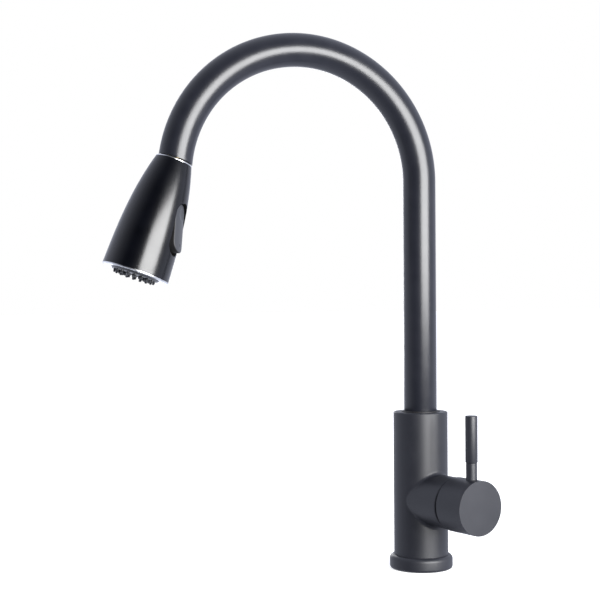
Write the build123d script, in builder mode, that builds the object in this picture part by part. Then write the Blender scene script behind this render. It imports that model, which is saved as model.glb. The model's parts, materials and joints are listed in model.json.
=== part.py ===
"""Pull-down kitchen faucet with a side lever.

One deck body carries a swivelling arch spout. A spray head on a hose pulls out of the spout's
mouth and turns on its hose. A ceramic-disc cartridge in the body's side is worked by the lever.

Millimetres. The origin is the centre of the base's underside, on the deck. +Z is up, +X runs
along the valve's axis towards the handle, and -Y is the faucet's front.
"""

from build123d import *
import os
from math import cos, radians, sin, sqrt

os.makedirs("parts", exist_ok=True)

# ---------------------------------------------------------------- driving dimensions

# Base and body
flange_dia = 54.0
flange_height = 12.0
flange_foot_round = 2.5
body_dia = 46.4
body_height = 134.2
body_edge = 0.7
passage_dia = 15.0

# Underside: supply ports, studs, deck seal
port_block_dia = 41.0
port_block_height = 14.0
port_x = 9.2
port_thread_dia = 9.0
port_thread_depth = 11.0
stud_spacing = 32.0
stud_hole_dia = 6.8
stud_hole_depth = 12.0
deck_seal_width = 2.2
deck_seal_height = 1.6
deck_seal_gap = 0.8

# Valve side arm and cartridge
valve_drop = 33.8
stub_dia = 44.0
stub_top_reach = 46.9
stub_bottom_reach = 44.6
stub_edge = 1.5
stub_fillet = 3.0
cartridge_dia = 35.0
cartridge_floor = 14.0
seal_height = 1.2
cartridge_base_height = 5.0
fixed_disc_height = 3.5
moving_disc_height = 3.0
carrier_height = 4.5
rotor_height = 6.5
housing_wall = 1.8
housing_lip = 2.0
cartridge_nut_height = 4.2
inlet_share = 0.171
lug_width = 2.2
pivot_above_rotor_face = 2.5
spindle_tip_reach = 5.0
spindle_tip_dia = 4.4
spindle_square = 8.0
spindle_pin_dia = 3.0
spindle_eye_dia = 5.2
seal_width = 1.4
dome_radius = 23.2
dome_wall = 1.2
dome_opening_inset = 4.4

# Handle
hub_dia = 45.2
hub_rim_reach = 47.5
hub_face_reach = 76.8
hub_wall = 1.4
hub_face_wall = 4.0
hub_edge = 0.4
hub_boss_dia = 17.0
hub_boss_reach = 58.0
lever_reach = 66.0
lever_neck_dia = 9.1
lever_grip_rise = 36.3
lever_top_rise = 74.8
lever_grip_dia = 10.0
lever_core_dia = 7.0
lever_thread_dia = 6.0
lever_thread_depth = 12.0
set_screw_dia = 5.0
set_screw_length = 5.0
plug_dia = 6.4
plug_height = 2.0

# Spout
spout_dia = 28.0
spout_wall = 1.2
bend_radius = 107.8
rise_height = 331.4
arch_turn = 172.7
spout_turn = -14.69
bush_wall = 2.0
socket_depth = 40.2
bush_height = 10.0
slip_ring_height = 0.9
thrust_washer_height = 1.5
collar_play = 0.3
collar_height = 11.0
groove_height = 3.4
groove_wall = 0.4
retaining_screw_dia = 4.0

# Joint between spout and spray head
head_lean = 19.5
head_joint = 1.65
head_step = 0.76
mouth_gap = 1.0
dock_play = 1.5
dock_wall = 2.4
dock_depth = 14.0
dock_lip_play = 0.8
dock_lip = 1.2

# Hose
hose_foot = 22.0
hose_tail_foot = 0.5
hose_tail_dia = 13.8
hose_end_back = 20.0
hose_lead = 24.0
ferrule_wall = 1.4
ferrule_height = 12.0
swivel_play = 0.7

# Spray head
head_length = 97.0
head_top_dia = 30.4
head_mid_share = 0.7592
head_mouth_dia = 54.9
head_top_slope = 16.5
head_mouth_slope = 2.1
head_wall = 2.2
top_ring_height = 0.9
neck_wall = 1.9
neck_height = 14.0
core_dia = 24.0
core_waist_dia = 18.0
core_flange_top = 78.0
core_flange_edge = 3.6
face_bore_play = 0.65
face_depth = 13.0
face_ring_height = 1.0
nozzle_plate_dia = 40.0
nozzle_plate_proud = 1.4
nozzle_dia = 2.4
nozzle_height = 2.6
nozzle_rings = [(8.5, 10), (12.5, 14), (16.5, 18)]
aerator_dia = 11.0
aerator_height = 6.0

# Spray mode rocker
head_turn = 36.0
slot_length = 43.2
slot_width = 19.6
slot_centre = 53.5
button_gap = 0.9
button_trim = 1.8
button_shift = 0.8
button_thickness = 6.2
button_lean = 5.6
button_rest = 10.0
button_rise = 0.7
button_crown = 25.0
button_edge = 0.9
button_lug_dia = 5.2
button_lug_width = 8.0
button_pin_dia = 2.4
button_pin_inset = 7.5
dish_radius = 15.0
dish_depth = 0.9
dish_back = 11.5
dot_dia = 2.2
dot_forward = 13.5
tray_wall = 1.2
spool_dia = 5.0
spool_forward = 12.0
spool_back = 3.2
spool_gap = 0.4

# Check valve in the spray head's inlet
check_body_dia = 13.0
check_body_height = 12.0
check_bore_dia = 8.0
poppet_dia = 6.0
check_travel = 2.0

# Clearances
running = 0.06
sliding = 0.3
joint_gap = 0.1


# ---------------------------------------------------------------- sizes that follow from those

# Bearing and joint, from the spout tube outwards and inwards.
socket_dia = spout_dia + 2 * bush_wall
socket_floor = body_height - socket_depth
collar_dia = socket_dia - 2 * collar_play
groove_dia = spout_dia + 2 * groove_wall
mouth_dia = spout_dia - 2 * spout_wall
dock_dia = mouth_dia - 2 * dock_play
dock_lip_dia = mouth_dia - 2 * dock_lip_play
neck_dia = dock_dia - 2 * dock_wall
swivel_dia = neck_dia - 2 * neck_wall
swivel_flange_dia = neck_dia - 2 * swivel_play
swivel_nose_dia = swivel_dia * 5 / 7
swivel_bore = swivel_dia * 3 / 7
hose_dia = swivel_dia * 6 / 7
hose_bore = swivel_dia / 2
ferrule_dia = hose_dia + 2 * ferrule_wall

# Valve and cartridge.
valve_height = socket_floor - valve_drop
lever_grip_foot = valve_height + lever_grip_rise
lever_top = valve_height + lever_top_rise
channel_dia = cartridge_dia / 7
port_y = cartridge_dia * 0.32
cartridge_port_rise = cartridge_dia * 0.157
ceramic_dia = cartridge_dia - 4.0
moving_disc_dia = ceramic_dia * 0.71
carrier_flat = moving_disc_dia + 1.0
carrier_dia = carrier_flat + 2.0
dome_opening_dia = cartridge_dia - dome_opening_inset

# Spray head and its face.
head_mid_dia = head_top_dia + (head_mouth_dia - head_top_dia) * head_mid_share
button_pin_depth = head_mid_dia / 2 - button_pin_inset
face_bore_dia = head_mouth_dia - 2 * (head_wall + face_bore_play)


def save(piece, name):
    """Label a finished piece and write it as its own STEP file."""
    piece.part.label = name
    export_step(piece.part, f"parts/{name}.step")


# ---------------------------------------------------------------- frames and stations

up = Vector(0, 0, 1)
spout_dir = Vector(0, -1, 0).rotate(Axis.Z, spout_turn)
spout_side = Plane(origin=(0, 0, 0), x_dir=spout_dir, z_dir=spout_dir.cross(up))

arch_end_x = bend_radius * (1 - cos(radians(arch_turn)))
arch_end_z = rise_height + bend_radius * sin(radians(arch_turn))
lean_sin = sin(radians(head_lean))
lean_cos = cos(radians(head_lean))
head_top_x = arch_end_x + head_joint * lean_sin + head_step * lean_cos
head_top_z = arch_end_z - head_joint * lean_cos + head_step * lean_sin

head_top = spout_side.from_local_coords((head_top_x, head_top_z))
head_dir = spout_dir * lean_sin - up * lean_cos
head_out = spout_dir * lean_cos + up * lean_sin
head_axis = Axis(head_top, head_dir)
head_side = Plane(origin=head_top, x_dir=head_out, z_dir=head_dir.cross(head_out))
head_cross = Plane(origin=head_top, x_dir=head_out, z_dir=head_dir)

button_dir = (head_out * -1).rotate(Axis((0, 0, 0), head_dir), head_turn)
button_pin_dir = head_dir.cross(button_dir)
slot_plane = Plane(origin=head_top + head_dir * slot_centre, x_dir=head_dir, z_dir=button_dir)
button_pivot = slot_plane.origin + button_dir * button_pin_depth
button_tilt = button_lean + button_rest
rocker_long = head_dir.rotate(Axis((0, 0, 0), button_pin_dir), button_tilt)
rocker_out = button_dir.rotate(Axis((0, 0, 0), button_pin_dir), button_tilt)
rocker_plane = Plane(origin=button_pivot, x_dir=rocker_long, z_dir=rocker_out)
rocker_side = Plane(origin=button_pivot, x_dir=rocker_long, z_dir=rocker_long.cross(rocker_out))

valve_plane = Plane(origin=(0, 0, valve_height), x_dir=(0, 1, 0), z_dir=(1, 0, 0))
valve_axis = Axis((0, 0, valve_height), (1, 0, 0))
valve_side = Plane(origin=(0, 0, valve_height), x_dir=(1, 0, 0), z_dir=(0, -1, 0))

base_start = cartridge_floor + seal_height
fixed_disc_start = base_start + cartridge_base_height
moving_disc_start = fixed_disc_start + fixed_disc_height
carrier_start = moving_disc_start + moving_disc_height
rotor_start = carrier_start + carrier_height + sliding
rotor_end = rotor_start + rotor_height
housing_end = rotor_end + housing_lip
nut_end = housing_end + cartridge_nut_height
pivot_x = rotor_start + pivot_above_rotor_face
spindle_tip_x = pivot_x - spindle_tip_reach
pivot_plane = Plane(origin=(pivot_x, 0, valve_height), x_dir=(1, 0, 0), z_dir=(0, 1, 0))

# Hot, cold and mixed water: ports as (x, y) on the underside, then as (y, z) in the cartridge's
# floor and in its fixed disc, where the mixed water leaves through the middle.
ports = [(-port_x, port_y), (port_x, -port_y), (port_x, port_y)]
cartridge_ports = [
    (port_y, cartridge_port_rise),
    (-port_y, cartridge_port_rise),
    (port_y, -cartridge_port_rise),
]
inlet_y = cartridge_dia * inlet_share
inlet_z = inlet_y * 2 / 3
disc_ports = [(inlet_y, inlet_z), (-inlet_y, inlet_z), (0, 0)]

bush_foot = socket_floor + thrust_washer_height + 2 * joint_gap
collar_foot = bush_foot + bush_height + sliding
upper_bush_foot = collar_foot + collar_height + sliding
tube_foot = socket_floor + thrust_washer_height + joint_gap
groove_mid = collar_foot + collar_height / 2
screw_plane = Plane(origin=(0, 0, groove_mid), x_dir=(1, 0, 0), z_dir=(0, 1, 0))


def head_profile(inset, start, end):
    """Points and end tangents of the spray head's curved side, moved in by inset."""
    points = [
        (head_top_dia / 2 - inset, -start),
        (head_mid_dia / 2 - inset, -head_length / 2),
        (head_mouth_dia / 2 - inset, -end),
    ]
    tangents = [
        (sin(radians(head_top_slope)), -cos(radians(head_top_slope))),
        (sin(radians(head_mouth_slope)), -cos(radians(head_mouth_slope))),
    ]
    return points, tangents


# ---------------------------------------------------------------- body

# Flange: a foot radius, a short wall and a quarter-round shoulder up to the column's foot.
seal_inner = port_block_dia / 2 + deck_seal_gap
with BuildPart() as base_flange:
    flange_r = flange_dia / 2
    shoulder = flange_r - body_dia / 2
    flange_bore_r = port_block_dia / 2
    with BuildSketch(Plane.XZ):
        with BuildLine():
            foot_x = flange_r - flange_foot_round
            Polyline((flange_bore_r, flange_height), (flange_bore_r, 0), (foot_x, 0))
            CenterArc((foot_x, flange_foot_round), flange_foot_round, 270, 90)
            Line((flange_r, flange_foot_round), (flange_r, flange_height - shoulder))
            CenterArc((flange_r - shoulder, flange_height - shoulder), shoulder, 0, 90)
            Line((flange_r - shoulder, flange_height), (flange_bore_r, flange_height))
        make_face()
    revolve(axis=Axis.Z)
    # Groove for the deck seal.
    with BuildSketch():
        Circle(seal_inner + deck_seal_width)
        Circle(seal_inner, mode=Mode.SUBTRACT)
    extrude(amount=deck_seal_height, mode=Mode.SUBTRACT)
save(base_flange, "base_flange")

body_foot = Plane.XY.offset(flange_height)
with BuildPart() as body_casting:
    with BuildSketch(body_foot):
        Circle(body_dia / 2)
    extrude(amount=body_height - flange_height)
    with BuildSketch(valve_plane):
        Circle(stub_dia / 2)
    extrude(amount=stub_top_reach + stub_edge)
    seam = body_casting.edges().filter_by(GeomType.BSPLINE)
    fillet(seam, radius=stub_fillet)
    # The side arm's end leans back towards its underside, so the handle can tip over it.
    end_slope = (stub_top_reach - stub_bottom_reach) / stub_dia
    end_middle = (stub_top_reach + stub_bottom_reach) / 2
    end_plane = Plane(origin=(end_middle, 0, valve_height), z_dir=(1, 0, -end_slope))
    split(bisect_by=end_plane, keep=Keep.BOTTOM)
    fillet(body_casting.faces().sort_by(Axis.X)[-1].edges(), radius=stub_edge)
    chamfer(body_casting.faces().sort_by(Axis.Z)[-1].edges(), length=body_edge)
    # Hose passage, spout socket and the recess for the port block.
    with BuildSketch(body_foot):
        Circle(passage_dia / 2)
    extrude(amount=socket_floor - flange_height, mode=Mode.SUBTRACT)
    with BuildSketch(Plane.XY.offset(socket_floor)):
        Circle(socket_dia / 2)
    extrude(amount=body_height, mode=Mode.SUBTRACT)
    with BuildSketch(body_foot):
        Circle(port_block_dia / 2)
    extrude(amount=port_block_height - flange_height, mode=Mode.SUBTRACT)
    # Cartridge bore.
    with BuildSketch(valve_plane.offset(cartridge_floor)):
        Circle(cartridge_dia / 2)
    extrude(amount=body_dia, mode=Mode.SUBTRACT)
    # Water channels: up from the port block, then across to the cartridge's floor.
    for (x, y), (_, rise) in zip(ports, cartridge_ports):
        with BuildSketch(Plane.XY.offset(port_block_height)):
            with Locations((x, y)):
                Circle(channel_dia / 2)
        top = valve_height + rise + channel_dia / 2
        extrude(amount=top - port_block_height, mode=Mode.SUBTRACT)
        with BuildSketch(valve_plane.offset(x)):
            with Locations((y, rise)):
                Circle(channel_dia / 2 - joint_gap)
        extrude(amount=cartridge_floor - x, mode=Mode.SUBTRACT)
    # Tapped hole at the back for the screw that keeps the spout in.
    with BuildSketch(screw_plane):
        Circle(retaining_screw_dia / 2)
    extrude(amount=body_dia, mode=Mode.SUBTRACT)
save(body_casting, "body_casting")

with BuildPart() as port_block:
    with BuildSketch():
        Circle(port_block_dia / 2)
        Circle(passage_dia / 2, mode=Mode.SUBTRACT)
    extrude(amount=port_block_height)
    with BuildSketch():
        with Locations(*ports):
            Circle(port_thread_dia / 2)
    extrude(amount=port_thread_depth, mode=Mode.SUBTRACT)
    with BuildSketch():
        with Locations(*ports):
            Circle(channel_dia / 2)
    extrude(amount=port_block_height, mode=Mode.SUBTRACT)
    with BuildSketch():
        with GridLocations(stud_spacing, 0, 2, 1):
            Circle(stud_hole_dia / 2)
    extrude(amount=stud_hole_depth, mode=Mode.SUBTRACT)
    with BuildSketch(Plane.XY.offset(port_block_height)):
        with Locations(*ports):
            Circle(channel_dia / 2 + seal_width)
    extrude(amount=-seal_height, mode=Mode.SUBTRACT)
save(port_block, "port_block")

with BuildPart() as port_seals:
    with BuildSketch(Plane.XY.offset(port_block_height)):
        with Locations(*ports):
            Circle(channel_dia / 2 + seal_width)
            Circle(channel_dia / 2, mode=Mode.SUBTRACT)
    extrude(amount=-seal_height)
save(port_seals, "port_seals")

with BuildPart() as deck_seal:
    with BuildSketch():
        Circle(seal_inner + deck_seal_width)
        Circle(seal_inner, mode=Mode.SUBTRACT)
    extrude(amount=deck_seal_height)
save(deck_seal, "deck_seal")

# ---------------------------------------------------------------- spout bearing

with BuildPart() as thrust_washer:
    with BuildSketch(Plane.XY.offset(socket_floor)):
        Circle(socket_dia / 2)
        Circle(passage_dia / 2, mode=Mode.SUBTRACT)
    extrude(amount=thrust_washer_height)
save(thrust_washer, "thrust_washer")

with BuildPart() as lower_bush:
    with BuildSketch(Plane.XY.offset(bush_foot)):
        Circle(socket_dia / 2)
        Circle(spout_dia / 2 + running, mode=Mode.SUBTRACT)
    extrude(amount=bush_height)
save(lower_bush, "lower_bush")

with BuildPart() as upper_bush:
    with BuildSketch(Plane.XY.offset(upper_bush_foot)):
        Circle(socket_dia / 2)
        Circle(spout_dia / 2 + running, mode=Mode.SUBTRACT)
    extrude(amount=body_height - upper_bush_foot)
save(upper_bush, "upper_bush")

with BuildPart() as slip_ring:
    with BuildSketch(Plane.XY.offset(body_height)):
        Circle(socket_dia / 2 + 0.6)
        Circle(spout_dia / 2 + running, mode=Mode.SUBTRACT)
    extrude(amount=slip_ring_height)
    chamfer(slip_ring.faces().sort_by(Axis.Z)[-1].outer_wire().edges(), length=0.4)
save(slip_ring, "slip_ring")

with BuildPart() as retaining_screw:
    with BuildSketch(screw_plane.offset(socket_dia / 2)):
        Circle(retaining_screw_dia / 2)
    extrude(amount=(body_dia - socket_dia) / 2 - body_edge)
    with BuildSketch(screw_plane.offset(groove_dia / 2 + sliding)):
        Circle(retaining_screw_dia / 3)
    extrude(amount=(socket_dia - groove_dia) / 2 - sliding)
    with BuildSketch(Plane(retaining_screw.faces().sort_by(Axis.Y)[-1])):
        RegularPolygon(retaining_screw_dia / 4, 6, major_radius=False)
    extrude(amount=-retaining_screw_dia / 2, mode=Mode.SUBTRACT)
save(retaining_screw, "retaining_screw")

# ---------------------------------------------------------------- cartridge

with BuildPart() as cartridge_seals:
    with BuildSketch(valve_plane.offset(cartridge_floor)):
        with Locations(*cartridge_ports):
            Circle(channel_dia / 2 + seal_width)
            Circle(channel_dia / 2, mode=Mode.SUBTRACT)
    extrude(amount=seal_height)
save(cartridge_seals, "cartridge_seals")

cartridge_r = cartridge_dia / 2 - running
base_skin = cartridge_base_height * 0.3
with BuildPart() as cartridge_base:
    with BuildSketch(valve_plane.offset(base_start)):
        Circle(cartridge_r)
    extrude(amount=cartridge_base_height)
    with BuildSketch(valve_plane.offset(base_start)):
        with Locations(*cartridge_ports):
            Circle(channel_dia / 2)
    extrude(amount=base_skin, mode=Mode.SUBTRACT)
    # Inside, a passage leads from each port to its place under the fixed disc.
    for low, high in zip(cartridge_ports, disc_ports):
        middle = ((low[0] + high[0]) / 2, (low[1] + high[1]) / 2)
        with BuildSketch(valve_plane.offset(base_start + base_skin)):
            SlotCenterPoint(middle, high, channel_dia)
        extrude(amount=cartridge_base_height - 2 * base_skin, mode=Mode.SUBTRACT)
    with BuildSketch(valve_plane.offset(base_start + cartridge_base_height)):
        with Locations(*disc_ports):
            Circle(channel_dia / 2)
    extrude(amount=-base_skin, mode=Mode.SUBTRACT)
save(cartridge_base, "cartridge_base")

with BuildPart() as cartridge_housing:
    with BuildSketch(valve_plane.offset(fixed_disc_start)):
        Circle(cartridge_r)
        Circle(cartridge_r - housing_wall, mode=Mode.SUBTRACT)
    extrude(amount=rotor_end + joint_gap - fixed_disc_start)
    with BuildSketch(valve_plane.offset(rotor_end + joint_gap)):
        Circle(cartridge_r)
        Circle(carrier_dia / 2, mode=Mode.SUBTRACT)
    extrude(amount=housing_lip - joint_gap)
save(cartridge_housing, "cartridge_housing")

with BuildPart() as fixed_disc:
    with BuildSketch(valve_plane.offset(fixed_disc_start)):
        Circle(ceramic_dia / 2)
        with Locations(*disc_ports):
            Circle(channel_dia / 2, mode=Mode.SUBTRACT)
    extrude(amount=fixed_disc_height)
save(fixed_disc, "fixed_disc")

# At rest the moving disc shuts both inlets. As the lever tips out it rises, and the pocket in its
# face joins the inlets to the outlet in the middle.
inlet_r = sqrt(inlet_y**2 + inlet_z**2)
pocket_r = inlet_r - channel_dia / 2 - sliding
with BuildPart() as moving_disc:
    with BuildSketch(valve_plane.offset(moving_disc_start)):
        Circle(moving_disc_dia / 2)
    extrude(amount=moving_disc_height)
    with BuildSketch(valve_plane.offset(moving_disc_start)):
        Circle(pocket_r)
    extrude(amount=moving_disc_height / 2, mode=Mode.SUBTRACT)
save(moving_disc, "moving_disc")

with BuildPart() as disc_carrier:
    with BuildSketch(valve_plane.offset(carrier_start)):
        Circle(carrier_dia / 2)
        Rectangle(carrier_flat, carrier_dia, mode=Mode.INTERSECT)
        Circle(spindle_tip_dia / 2 + sliding, mode=Mode.SUBTRACT)
    extrude(amount=carrier_height)
save(disc_carrier, "disc_carrier")

rotor_r = cartridge_r - housing_wall - running
with BuildPart() as mixer_rotor:
    with BuildSketch(valve_plane.offset(rotor_start)):
        Circle(rotor_r)
        Rectangle(spindle_square + 2 * running, spindle_square * 1.7, mode=Mode.SUBTRACT)
    extrude(amount=rotor_height)
    # Two lugs reach down beside the disc carrier and turn it with the rotor.
    with BuildSketch(valve_plane.offset(moving_disc_start + sliding)):
        with GridLocations(carrier_flat + 2 * running + lug_width, 0, 2, 1):
            Rectangle(lug_width, carrier_flat / 2)
    extrude(amount=rotor_start - moving_disc_start - sliding)
    # Cross hole for the spindle's pin.
    with BuildSketch(pivot_plane):
        Circle(spindle_pin_dia / 2)
    extrude(amount=rotor_r, both=True, mode=Mode.SUBTRACT)
save(mixer_rotor, "mixer_rotor")

with BuildPart() as spindle_pin:
    with BuildSketch(pivot_plane):
        Circle(spindle_pin_dia / 2)
    extrude(amount=rotor_r - 1.0, both=True)
save(spindle_pin, "spindle_pin")

with BuildPart() as cartridge_nut:
    with BuildSketch(valve_plane.offset(housing_end)):
        Circle(cartridge_r)
        RegularPolygon(carrier_dia / 2, 6, major_radius=False, mode=Mode.SUBTRACT)
    extrude(amount=cartridge_nut_height)
save(cartridge_nut, "cartridge_nut")

with BuildPart() as trim_dome:
    dome_inner = dome_radius - dome_wall
    skirt_r = cartridge_r
    opening_r = dome_opening_dia / 2
    with BuildSketch(valve_side):
        with BuildLine():
            outer_start = (pivot_x + sqrt(dome_radius**2 - skirt_r**2), skirt_r)
            outer_end = (pivot_x + sqrt(dome_radius**2 - opening_r**2), opening_r)
            inner_end = (pivot_x + sqrt(dome_inner**2 - opening_r**2), opening_r)
            skirt_in = skirt_r - dome_wall
            inner_start = (pivot_x + sqrt(dome_inner**2 - skirt_in**2), skirt_in)
            Line((nut_end, skirt_r), outer_start)
            RadiusArc(outer_start, outer_end, dome_radius)
            Line(outer_end, inner_end)
            RadiusArc(inner_end, inner_start, -dome_inner)
            Polyline(inner_start, (nut_end, skirt_in), (nut_end, skirt_r))
        make_face()
    revolve(axis=valve_axis)
save(trim_dome, "trim_dome")

# ---------------------------------------------------------------- handle

hub_r = hub_dia / 2
hub_bore_r = hub_r - hub_wall
hub_inner_reach = hub_face_reach - hub_face_wall
lever_plane = Plane.XY.offset(valve_height)
neck_seat = valve_height + hub_r - 3.0
thread_foot = neck_seat - lever_thread_depth
plug_x = (hub_boss_reach + hub_inner_reach) / 2

with BuildPart() as handle_hub:
    with BuildSketch(valve_plane.offset(hub_rim_reach)):
        Circle(hub_r)
    extrude(amount=hub_face_reach - hub_rim_reach)
    chamfer(handle_hub.faces().sort_by(Axis.X)[-1].edges(), length=hub_edge)
    chamfer(handle_hub.faces().sort_by(Axis.X)[0].edges(), length=hub_edge)
    with BuildSketch(valve_plane.offset(hub_rim_reach)):
        Circle(hub_bore_r)
    extrude(amount=hub_inner_reach - hub_rim_reach, mode=Mode.SUBTRACT)
    with BuildSketch(valve_plane.offset(hub_boss_reach)):
        Circle(hub_boss_dia / 2)
    extrude(amount=hub_inner_reach - hub_boss_reach)
    # Boss that takes the lever's thread.
    with BuildSketch(lever_plane):
        with Locations((lever_reach, 0)):
            Circle(lever_neck_dia / 2 + 1.5)
    extrude(amount=hub_bore_r - 0.5)
    with BuildSketch(Plane.XY.offset(neck_seat)):
        with Locations((lever_reach, 0)):
            Circle(lever_neck_dia / 2)
    extrude(amount=hub_r, mode=Mode.SUBTRACT)
    with BuildSketch(Plane.XY.offset(thread_foot)):
        with Locations((lever_reach, 0)):
            Circle(lever_thread_dia / 2)
    extrude(amount=lever_thread_depth, mode=Mode.SUBTRACT)
    # Square socket for the spindle, its set screw from below and the hole for the plug.
    with BuildSketch(valve_plane.offset(hub_boss_reach)):
        Rectangle(spindle_square, spindle_square)
    extrude(amount=hub_inner_reach - hub_boss_reach, mode=Mode.SUBTRACT)
    with BuildSketch(lever_plane):
        with Locations((plug_x, 0)):
            Circle(set_screw_dia / 2)
    extrude(amount=-hub_boss_dia, mode=Mode.SUBTRACT)
    with BuildSketch(Plane.XY.offset(valve_height - hub_bore_r + 1.0)):
        with Locations((plug_x, 0)):
            Circle(plug_dia / 2)
    extrude(amount=-hub_r, mode=Mode.SUBTRACT)
save(handle_hub, "handle_hub")

with BuildPart() as spindle:
    with BuildSketch(valve_plane.offset(pivot_x + spindle_pin_dia / 4)):
        Rectangle(spindle_square, spindle_square)
    extrude(amount=hub_inner_reach - pivot_x - spindle_pin_dia / 4)
    with BuildSketch(pivot_plane):
        Circle(spindle_eye_dia / 2)
    extrude(amount=spindle_square / 2, both=True)
    with BuildSketch(valve_plane.offset(spindle_tip_x)):
        Circle(spindle_tip_dia / 4)
    extrude(amount=spindle_tip_reach)
    with Locations((spindle_tip_x, 0, valve_height)):
        Sphere(spindle_tip_dia / 2)
    with BuildSketch(pivot_plane):
        Circle(spindle_pin_dia / 2 + running)
    extrude(amount=spindle_square, both=True, mode=Mode.SUBTRACT)
save(spindle, "spindle")

with BuildPart() as lever_rod:
    with BuildSketch(Plane.XY.offset(thread_foot)):
        with Locations((lever_reach, 0)):
            Circle(lever_thread_dia / 2)
    extrude(amount=lever_thread_depth)
    with BuildSketch(Plane.XY.offset(neck_seat)):
        with Locations((lever_reach, 0)):
            Circle(lever_neck_dia / 2)
    extrude(amount=lever_grip_foot - neck_seat)
    with BuildSketch(Plane.XY.offset(lever_grip_foot)):
        with Locations((lever_reach, 0)):
            Circle(lever_core_dia / 2)
    extrude(amount=lever_top - lever_grip_foot - 2.0)
save(lever_rod, "lever_rod")

with BuildPart() as lever_grip:
    with BuildSketch(Plane.XY.offset(lever_grip_foot)):
        with Locations((lever_reach, 0)):
            Circle(lever_grip_dia / 2)
    extrude(amount=lever_top - lever_grip_foot)
    chamfer(lever_grip.faces().sort_by(Axis.Z)[0].edges(), length=(lever_grip_dia - lever_neck_dia) / 2)
    fillet(lever_grip.faces().sort_by(Axis.Z)[-1].edges(), radius=0.6)
    with BuildSketch(Plane.XY.offset(lever_grip_foot)):
        with Locations((lever_reach, 0)):
            Circle(lever_core_dia / 2)
    extrude(amount=lever_top - lever_grip_foot - 2.0, mode=Mode.SUBTRACT)
save(lever_grip, "lever_grip")

with BuildPart() as handle_set_screw:
    with BuildSketch(Plane.XY.offset(valve_height - spindle_square / 2)):
        with Locations((plug_x, 0)):
            Circle(set_screw_dia / 2)
    extrude(amount=-set_screw_length)
    with BuildSketch(Plane(handle_set_screw.faces().sort_by(Axis.Z)[0])):
        RegularPolygon(set_screw_dia / 4, 6, major_radius=False)
    extrude(amount=-set_screw_length / 2, mode=Mode.SUBTRACT)
save(handle_set_screw, "handle_set_screw")

with BuildPart() as screw_plug:
    with BuildSketch(Plane.XY.offset(valve_height - hub_r + 0.4)):
        with Locations((plug_x, 0)):
            Circle(plug_dia / 2)
    extrude(amount=plug_height)
save(screw_plug, "screw_plug")

# ---------------------------------------------------------------- spout

mouth_plane = head_cross.offset(-mouth_gap)
tail_run = spout_dia / 3
tail_dir_x = sin(radians(arch_turn))
tail_dir_z = cos(radians(arch_turn))

with BuildPart() as spout_tube:
    with BuildLine(spout_side):
        Line((0, tube_foot), (0, rise_height))
        CenterArc((bend_radius, rise_height), bend_radius, 180, -arch_turn)
        tail_end = (arch_end_x + tail_run * tail_dir_x, arch_end_z + tail_run * tail_dir_z)
        Line((arch_end_x, arch_end_z), tail_end)
    with BuildSketch(Plane.XY.offset(tube_foot)):
        Circle(spout_dia / 2)
        Circle(spout_dia / 2 - spout_wall, mode=Mode.SUBTRACT)
    sweep()
    # The mouth is cut square to the spray head's axis.
    with BuildSketch(mouth_plane):
        Circle(spout_dia)
    extrude(amount=spout_dia, mode=Mode.SUBTRACT)
save(spout_tube, "spout_tube")

with BuildPart() as swivel_collar:
    with BuildSketch(Plane.XY.offset(collar_foot)):
        Circle(collar_dia / 2)
        Circle(spout_dia / 2, mode=Mode.SUBTRACT)
    extrude(amount=collar_height)
    with BuildSketch(Plane.XY.offset(groove_mid - groove_height / 2)):
        Circle(collar_dia / 2 + 1.0)
        Circle(groove_dia / 2, mode=Mode.SUBTRACT)
    extrude(amount=groove_height, mode=Mode.SUBTRACT)
save(swivel_collar, "swivel_collar")

with BuildPart() as dock_insert:
    with BuildSketch(mouth_plane):
        Circle(dock_lip_dia / 2)
    extrude(amount=-dock_lip)
    with BuildSketch(mouth_plane):
        Circle(dock_dia / 2)
    extrude(amount=-dock_depth)
    with BuildSketch(mouth_plane):
        Circle(neck_dia / 2 + sliding)
    extrude(amount=-dock_depth, mode=Mode.SUBTRACT)
save(dock_insert, "dock_insert")

# ---------------------------------------------------------------- hose

# The hose follows the spout, then runs straight along the head's axis for its last stretch.
hose_bend = (head_top_x - hose_lead * lean_sin) / (1 + lean_cos)
hose_rise = head_top_z - hose_bend * lean_sin + hose_lead * lean_cos
hose_turn = 180 - head_lean
hose_arc_x = hose_bend * (1 + lean_cos)
hose_arc_z = hose_rise + hose_bend * lean_sin
hose_run = hose_lead - hose_end_back

with BuildPart() as pull_hose:
    with BuildLine(spout_side):
        Line((0, hose_foot), (0, hose_rise))
        CenterArc((hose_bend, hose_rise), hose_bend, 180, -hose_turn)
        hose_end = (hose_arc_x + hose_run * lean_sin, hose_arc_z - hose_run * lean_cos)
        Line((hose_arc_x, hose_arc_z), hose_end)
    with BuildSketch(Plane.XY.offset(hose_foot)):
        Circle(hose_dia / 2)
        Circle(hose_bore / 2, mode=Mode.SUBTRACT)
    sweep()
save(pull_hose, "pull_hose")

with BuildPart() as hose_tail:
    with BuildSketch(Plane.XY.offset(hose_tail_foot)):
        Circle(hose_tail_dia / 2)
        Circle(hose_bore / 2, mode=Mode.SUBTRACT)
    extrude(amount=hose_foot - hose_tail_foot)
    with BuildSketch(Plane.XY.offset(hose_tail_foot)):
        Circle(port_thread_dia / 2)
    extrude(amount=port_thread_depth, mode=Mode.SUBTRACT)
save(hose_tail, "hose_tail")

with BuildPart() as hose_ferrule:
    with BuildSketch(head_cross.offset(-hose_end_back)):
        Circle(ferrule_dia / 2)
        Circle(hose_dia / 2 + sliding, mode=Mode.SUBTRACT)
    extrude(amount=-ferrule_height / 2)
save(hose_ferrule, "hose_ferrule")

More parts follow.
